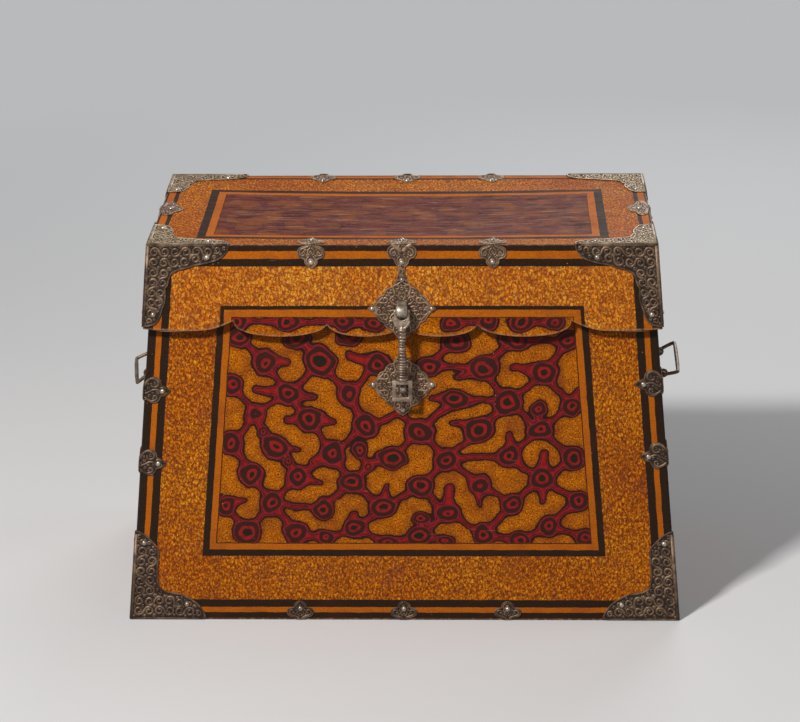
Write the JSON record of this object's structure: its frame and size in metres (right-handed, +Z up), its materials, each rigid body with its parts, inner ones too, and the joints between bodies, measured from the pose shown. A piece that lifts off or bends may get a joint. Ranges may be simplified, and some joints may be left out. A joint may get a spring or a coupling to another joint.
{
  "type": "travel trunk",
  "caption": "Tapered travel trunk of boards under painted lacquered hide, with an overlapping scalloped lid, pierced iron mounts, a hasp, back hinges and wire side handles.",
  "frame": {"origin": "middle of the foot of the trunk, on the floor", "axes": "+X to the right seen from the front, -Y is the front with the hasp, +Z up"},
  "size_m": [0.6744, 0.3746, 0.4661],
  "materials": {
    "pine_wood": "old unpainted softwood board, planed, darkened with age",
    "lacquered_hide": "painted and varnished hide, golden stippled ground with black bands and a red, black and gold eye pattern",
    "wrought_iron": "wrought iron sheet and wire with a grey-brown patina, pierced scrollwork",
    "steel_pin": "worn iron hinge pin"
  },
  "bodies": {
    "trunk": {"front_board": "pine_wood", "back_board": "pine_wood", "left_board": "pine_wood", "right_board": "pine_wood", "bottom_board": "pine_wood", "front_hide": "lacquered_hide", "back_hide": "lacquered_hide", "left_hide": "lacquered_hide", "right_hide": "lacquered_hide", "base_corner_front_left": "wrought_iron", "base_corner_front_right": "wrought_iron", "base_corner_back_left": "wrought_iron", "base_corner_back_right": "wrought_iron", "upper_edge_clips": "wrought_iron", "lower_edge_clips": "wrought_iron", "front_foot_clips": "wrought_iron", "back_foot_clips": "wrought_iron", "side_foot_clips": "wrought_iron", "lower_hasp_plate": "wrought_iron", "catch_staple": "wrought_iron", "left_handle_staples": "wrought_iron", "left_handle_rosettes": "wrought_iron", "right_handle_staples": "wrought_iron", "right_handle_rosettes": "wrought_iron", "left_hinge_body_leaf": "wrought_iron", "right_hinge_body_leaf": "wrought_iron", "left_hinge_pin": "steel_pin", "right_hinge_pin": "steel_pin", "body_rivets": "wrought_iron"},
    "lid": {"lid_front_board": "pine_wood", "lid_back_board": "pine_wood", "lid_left_board": "pine_wood", "lid_right_board": "pine_wood", "lid_top_board": "pine_wood", "lid_front_hide": "lacquered_hide", "lid_back_hide": "lacquered_hide", "lid_left_hide": "lacquered_hide", "lid_right_hide": "lacquered_hide", "lid_top_hide": "lacquered_hide", "lid_corner_front_left": "wrought_iron", "lid_corner_front_right": "wrought_iron", "lid_corner_back_left": "wrought_iron", "lid_corner_back_right": "wrought_iron", "lid_front_clips": "wrought_iron", "lid_back_clips": "wrought_iron", "lid_side_clips": "wrought_iron", "upper_hasp_plate": "wrought_iron", "upper_staple": "wrought_iron", "left_hinge_lid_leaf": "wrought_iron", "right_hinge_lid_leaf": "wrought_iron", "lid_rivets": "wrought_iron"},
    "hasp": {"hasp": "wrought_iron"},
    "handle_left": {"left_handle": "wrought_iron"},
    "handle_right": {"right_handle": "wrought_iron"}
  },
  "joints": [
    {"name": "lid_hinge", "type": "hinge", "parent": "trunk", "child": "lid", "pos_m": [0, 0.16842, 0.3705], "axis": [-1, 0, 0], "range_deg": [0, 105]},
    {"name": "hasp_swing", "type": "hinge", "parent": "lid", "child": "hasp", "pos_m": [0, -0.17518, 0.3865], "axis": [-1, 0, 0], "range_deg": [-6.5, 155]},
    {"name": "handle_left_swing", "type": "hinge", "parent": "trunk", "child": "handle_left", "pos_m": [-0.31535, 0, 0.26606], "axis": [0, 1, 0], "range_deg": [-58, 122]},
    {"name": "handle_right_swing", "type": "hinge", "parent": "trunk", "child": "handle_right", "pos_m": [0.31535, 0, 0.26606], "axis": [0, -1, 0], "range_deg": [-110, 70]}
  ]
}
